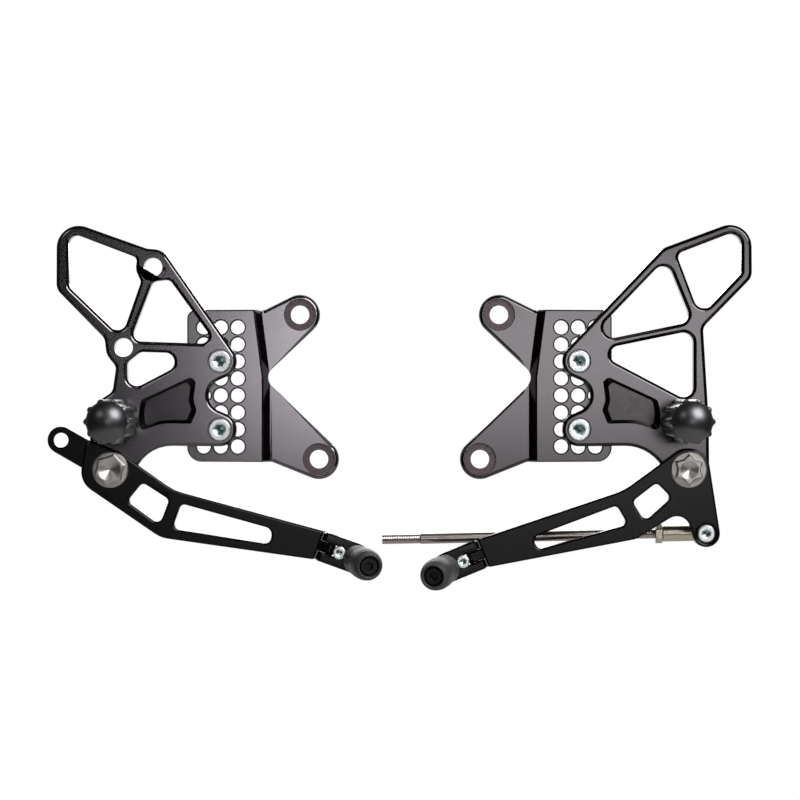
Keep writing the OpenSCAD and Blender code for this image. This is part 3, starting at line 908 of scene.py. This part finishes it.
# Screws: places along -y from the face that meets the motorcycle, and outlines there
HANGER_BOLT = (
    (0.0, 3.4), (0.6, 4.0), (22.0, 4.0), (22.0, 6.3), (22.2, knurled(6.4, 0.1, 48)),
    (28.4, knurled(6.4, 0.1, 48)), (28.8, knurled(6.1, 0.06, 48)), (29.0, 5.8), (29.0, 3.9),
    (28.7, hexagon(6.0)), (25.4, hexagon(6.0)), (23.8, 0.0),
)
TOE_LOCK = (
    (31.6, 1.2), (32.0, 1.5), (38.1, 1.5), (38.1, 3.5), (38.3, knurled(3.7, 0.09, 24)),
    (39.7, knurled(3.7, 0.09, 24)), (40.2, 3.2), (40.3, 3.0), (40.3, 2.1),
    (40.0, hexagon(3.0)), (38.8, hexagon(3.0)), (38.2, 0.0),
)
LINK_BOLT = (
    (12.5, 2.5), (13.0, 3.0), (35.5, 3.0), (35.5, 4.9), (35.8, knurled(5.1, 0.1, 32)),
    (37.9, knurled(5.1, 0.1, 32)), (38.5, 4.6), (38.7, 4.3), (38.7, 2.9),
    (38.4, hexagon(4.0)), (36.6, hexagon(4.0)), (35.6, 0.0),
)

# Radius of the hollow in each head, and its depth, for the darker finish inside it: painted shade
# in the hollow
SOCKET_DEPTH = 6
SOCKETS = {"hanger_bolts": 3.5, "lock_screw": 1.8, "link_bolt": 2.4, "pivot_bolt": 0.0}


def pivot_bolt(low, recess, turn):
    """Shoulder bolt with a flange, a six-pointed head and a turned hollow in it."""
    return (
        (16.5, 3.5), (17.0, 4.0), (28.0, 4.0), (28.0, 6.0), (38.2, 6.0), (38.2, 10.3),
        (38.4, 10.5), (39.5, 10.5), (40.1, 9.9), (40.2, star(low + 0.3, 9.3, turn)),
        (40.4, star(low, 9.0, turn)), (43.4, star(low, 9.0, turn)),
        (44.2, star(low - 0.6, 8.0, turn)), (44.2, recess + 0.2), (44.1, recess),
        (41.2, 0.9), (41.0, 0.0),
    )


class REARSET_OT_screws(bpy.types.Operator):
    """Bolts, nuts and pivot bolts with rounded edges, and finishes for the washers, bushes, fold
    pins and balls
    """

    bl_idname = "rearset.screws"
    bl_label = "Screws"

    def execute(self, context):
        width = context.scene.rearset_edges.screw
        for side in SIDES:
            self.made(side, "hanger_bolts", "bolt_", side_matrix(side), BOLTS, HANGER_BOLT)
            head = pivot_bolt(7.4, 6.4, 17.0) if side == "brake" else pivot_bolt(6.6, 5.2, 30.0)
            self.made(side, "pivot_bolt", "pivot_", side_matrix(side), [PIVOT], head)
            self.made(
                side, "lock_screw", "screw_", lever_matrix(side), [LOCK_SCREW], TOE_LOCK
            )
        self.made("shift", "link_bolt", "screw_", lever_matrix("shift"), [LINK], LINK_BOLT)
        finish_of = {
            "hanger_nuts": "bolt_{}",
            "link_nut": "bolt_{}",
            "peg_bolt": "rod",
            "toe_screw": "oxide",
            "rod_end": "zinc",
            "jam_nut": "zinc",
        }
        for node in sorted(frame["nodes"]):
            if kind_of(node) not in finish_of:
                continue
            finish = FINISHES[finish_of[kind_of(node)].format(side_of(node))]
            bm = joined_copy(node)
            chamfer(bm, edges_where(bm, anywhere, 50.0), width)
            replace_node(bm, node, [finish])
        kept = {
            "thrust_washer": "pivot_{}",
            "bush": "bronze",
            "fold_pin": "rod",
            "ball": "bolt_{}",
        }
        for node, piece in frame["nodes"].items():
            if kind_of(node) in kept:
                finish = FINISHES[kept[kind_of(node)].format(side_of(node))]
                for slot in piece.material_slots:
                    slot.material = finish
        return {"FINISHED"}

    def made(self, side, kind, finish, matrix, places, stages):
        """Screws with their own heads in place of one node"""
        parts = [stacked(stages) for place in places]
        for part, place in zip(parts, places):
            bmesh.ops.transform(part, matrix=upright(place), verts=part.verts)
        bm = gathered(parts)
        front = max(along for along, outline in stages)
        # Faces in the hollow of each head take the darker socket finish: painted shade.
        mark_faces(
            bm,
            1,
            lambda p, f: front - SOCKET_DEPTH < -p.y < front - 0.2
            and min(math.hypot(p.x - x, p.z - z) for x, z in places) < SOCKETS[kind],
        )
        settle(bm, matrix)
        finishes = [FINISHES[finish + side], FINISHES["socket"]]
        replace_node(bm, f"{side}_{kind}", finishes, MILLED_SHARP)


def threaded(start, end, crest, root, pitch, steps=20):
    """A helical thread along x between two places, closed at both ends."""
    bm = bmesh.new()
    turns = math.ceil((end - start) / pitch) + 2
    first = start - pitch
    shape = [(0.0, root), (0.12, root), (0.46, crest), (0.62, crest), (1.0, root)]
    verts = [bm.verts.new((first + share * pitch, 0, radius)) for share, radius in shape]
    edges = [bm.edges.new(pair) for pair in zip(verts, verts[1:])]
    bmesh.ops.spin(
        bm,
        geom=verts + edges,
        cent=(0, 0, 0),
        axis=(1, 0, 0),
        dvec=(pitch / steps, 0, 0),
        angle=math.tau * turns,
        steps=steps * turns,
        use_duplicate=False,
    )
    bmesh.ops.remove_doubles(bm, verts=bm.verts, dist=pitch * 0.01)
    for place, ahead in ((start, -1), (end, 1)):
        bmesh.ops.bisect_plane(
            bm,
            geom=bm.verts[:] + bm.edges[:] + bm.faces[:],
            plane_co=(place, 0, 0),
            plane_no=(ahead, 0, 0),
            clear_outer=True,
        )
        rim = [e for e in bm.edges if e.is_boundary and abs(e.verts[0].co.x - place) < 1e-4]
        bmesh.ops.holes_fill(bm, edges=rim, sides=0)
    return bm


class REARSET_OT_gear_rod(bpy.types.Operator):
    """Gear rod: drawn bar with a thread at either end"""

    bl_idname = "rearset.gear_rod"
    bl_label = "Gear rod"

    def execute(self, context):
        length = context.scene.rearset_edges.thread / MM
        near_start = ROD_END_MOUTH - 10.5
        near_stop = ROD_END_MOUTH + 4.2 + length
        far_stop = ROD_REACH - length
        near = threaded(near_start, near_stop, THREAD_CREST, NEAR_ROOT, THREAD_PITCH)
        far = threaded(far_stop, ROD_REACH, THREAD_CREST, FAR_ROOT, THREAD_PITCH)
        start = near_stop - 0.01
        end = far_stop + 0.01
        shank = [(start, 0.0), (start, SHANK_END_R), (start + 0.6, SHANK_R)]
        shank += [(end - 0.6, SHANK_R), (end, SHANK_END_R), (end, 0.0)]
        bar = spun(shank, 48)
        turn = Matrix.Rotation(math.radians(90), 4, "Z")
        bmesh.ops.transform(bar, matrix=turn, verts=bar.verts)
        bm = gathered([near, bar, far])
        settle(bm, rod_matrix())
        replace_node(bm, "shift_rod", [FINISHES["rod"]], 40.0)
        return {"FINISHED"}


class REARSET_OT_studio(bpy.types.Operator):
    """Camera, lamps, pale floor and white surroundings"""

    bl_idname = "rearset.studio"
    bl_label = "Studio"

    def execute(self, context):
        studio = context.scene.rearset_studio
        scene = context.scene
        scene.view_settings.view_transform = "Standard"
        aim = Vector((53.4 * MM, 0, -7.7 * MM))

        lens = bpy.data.cameras.new("front_camera")
        lens.sensor_width = 36.0
        lens.lens = lens.sensor_width * studio.distance / studio.picture
        lens.clip_start = 0.05
        lens.clip_end = 50.0
        camera = bpy.data.objects.new("front_camera", lens)
        camera.location = aim + Vector((0, -studio.distance, 0))
        camera.rotation_euler = (math.radians(90), 0, 0)
        scene.collection.objects.link(camera)
        scene.camera = camera

        self.surroundings(scene)
        self.floor(scene)
        lamps = (
            ("front_lamp", (0.24, -2.7, 0.07), (0.8, 0.24), studio.front),
            ("left_lamp", (-0.85, -1.1, 0.85), (0.5, 0.5), studio.fill),
            ("right_lamp", (0.9, -1.1, 0.98), (1.1, 1.1), studio.key),
            ("back_lamp", (0.05, 1.3, 0.5), (1.4, 0.8), studio.back),
        )
        for name, place, size, power in lamps:
            self.soft_lamp(scene, name, place, size, power, aim)
        return {"FINISHED"}

    def soft_lamp(self, scene, name, place, size, power, aim):
        """A rectangular soft box that faces the pair"""
        light = bpy.data.lights.new(name, "AREA")
        light.shape = "RECTANGLE"
        light.size, light.size_y = size
        light.energy = power
        lamp = bpy.data.objects.new(name, light)
        lamp.location = place
        towards = aim - Vector(place)
        lamp.rotation_euler = towards.to_track_quat("-Z", "Y").to_euler()
        scene.collection.objects.link(lamp)

    def surroundings(self, scene):
        """White behind the pair and to the lens, dim elsewhere"""
        world = bpy.data.worlds.new("studio_room")
        world.use_nodes = True
        tree = world.node_tree
        tree.nodes.clear()
        output = tree.nodes.new("ShaderNodeOutputWorld")
        background = tree.nodes.new("ShaderNodeBackground")
        background.inputs["Color"].default_value = (1, 1, 1, 1)
        paths = tree.nodes.new("ShaderNodeLightPath")
        place = tree.nodes.new("ShaderNodeTexCoord")
        axes = tree.nodes.new("ShaderNodeSeparateXYZ")
        behind = tree.nodes.new("ShaderNodeMapRange")
        level = tree.nodes.new("ShaderNodeMix")
        # Dim up to Y 0.35 of the direction, and white from Y 0.8, straight behind the pair
        for socket, value in enumerate((0.35, 0.8, 0.04, 1.0), 1):
            behind.inputs[socket].default_value = value
        level.inputs[3].default_value = 1.0
        tree.links.new(place.outputs["Generated"], axes.inputs[0])
        tree.links.new(axes.outputs["Y"], behind.inputs[0])
        tree.links.new(paths.outputs["Is Camera Ray"], level.inputs[0])
        tree.links.new(behind.outputs[0], level.inputs[2])
        tree.links.new(level.outputs[0], background.inputs["Strength"])
        tree.links.new(background.outputs[0], output.inputs[0])
        scene.world = world

    def floor(self, scene):
        """Pale floor below the pair, white to the lens"""
        bm = bmesh.new()
        bmesh.ops.create_circle(bm, cap_ends=True, radius=0.62, segments=96)
        bmesh.ops.translate(bm, vec=(0.05, 0, cad_low.z - 0.2), verts=bm.verts)
        mesh = bpy.data.meshes.new("studio_floor")
        bm.to_mesh(mesh)
        bm.free()
        finish = Finish("pale_floor", 0.7)
        finish.set("Base Color", (0.5, 0.5, 0.5, 1))
        paths = finish.node("ShaderNodeLightPath", {}, {}, "Is Camera Ray")
        finish.set("Emission Color", (1, 1, 1, 1))
        finish.set("Emission Strength", paths * 0.6)
        mesh.materials.append(finish.material)
        floor = bpy.data.objects.new("studio_floor", mesh)
        scene.collection.objects.link(floor)


class REARSET_PT_panel(bpy.types.Panel):
    """Sizes, colours and steps of the rear sets"""

    bl_idname = "REARSET_PT_panel"
    bl_label = "Rear sets"
    bl_space_type = "VIEW_3D"
    bl_region_type = "UI"
    bl_category = "Rear sets"

    def draw(self, context):
        layout = self.layout
        for group in (
            context.scene.rearset_edges,
            context.scene.rearset_looks,
            context.scene.rearset_studio,
        ):
            box = layout.box()
            for name in group.bl_rna.properties.keys():
                if name not in ("rna_type", "name"):
                    box.prop(group, name)
        for step in STEPS:
            layout.operator(step.bl_idname)


GROUPS = (RearSetEdges, RearSetLooks, RearSetStudio)
STEPS = (
    REARSET_OT_finishes,
    REARSET_OT_frame_plates,
    REARSET_OT_hangers,
    REARSET_OT_levers,
    REARSET_OT_foot_pegs,
    REARSET_OT_toe_pegs,
    REARSET_OT_screws,
    REARSET_OT_gear_rod,
    REARSET_OT_studio,
)


def register():
    for made in GROUPS + STEPS + (REARSET_PT_panel,):
        bpy.utils.register_class(made)
    scene = bpy.types.Scene
    scene.rearset_edges = bpy.props.PointerProperty(type=RearSetEdges)
    scene.rearset_looks = bpy.props.PointerProperty(type=RearSetLooks)
    scene.rearset_studio = bpy.props.PointerProperty(type=RearSetStudio)


def unregister():
    del bpy.types.Scene.rearset_studio
    del bpy.types.Scene.rearset_looks
    del bpy.types.Scene.rearset_edges
    for made in reversed(GROUPS + STEPS + (REARSET_PT_panel,)):
        bpy.utils.unregister_class(made)


def main():
    register()
    bpy.ops.rearset.finishes()
    bpy.ops.rearset.frame_plates()
    bpy.ops.rearset.hangers()
    bpy.ops.rearset.levers()
    bpy.ops.rearset.foot_pegs()
    bpy.ops.rearset.toe_pegs()
    bpy.ops.rearset.screws()
    bpy.ops.rearset.gear_rod()
    bpy.ops.rearset.studio()


if __name__ == "__main__":
    main()
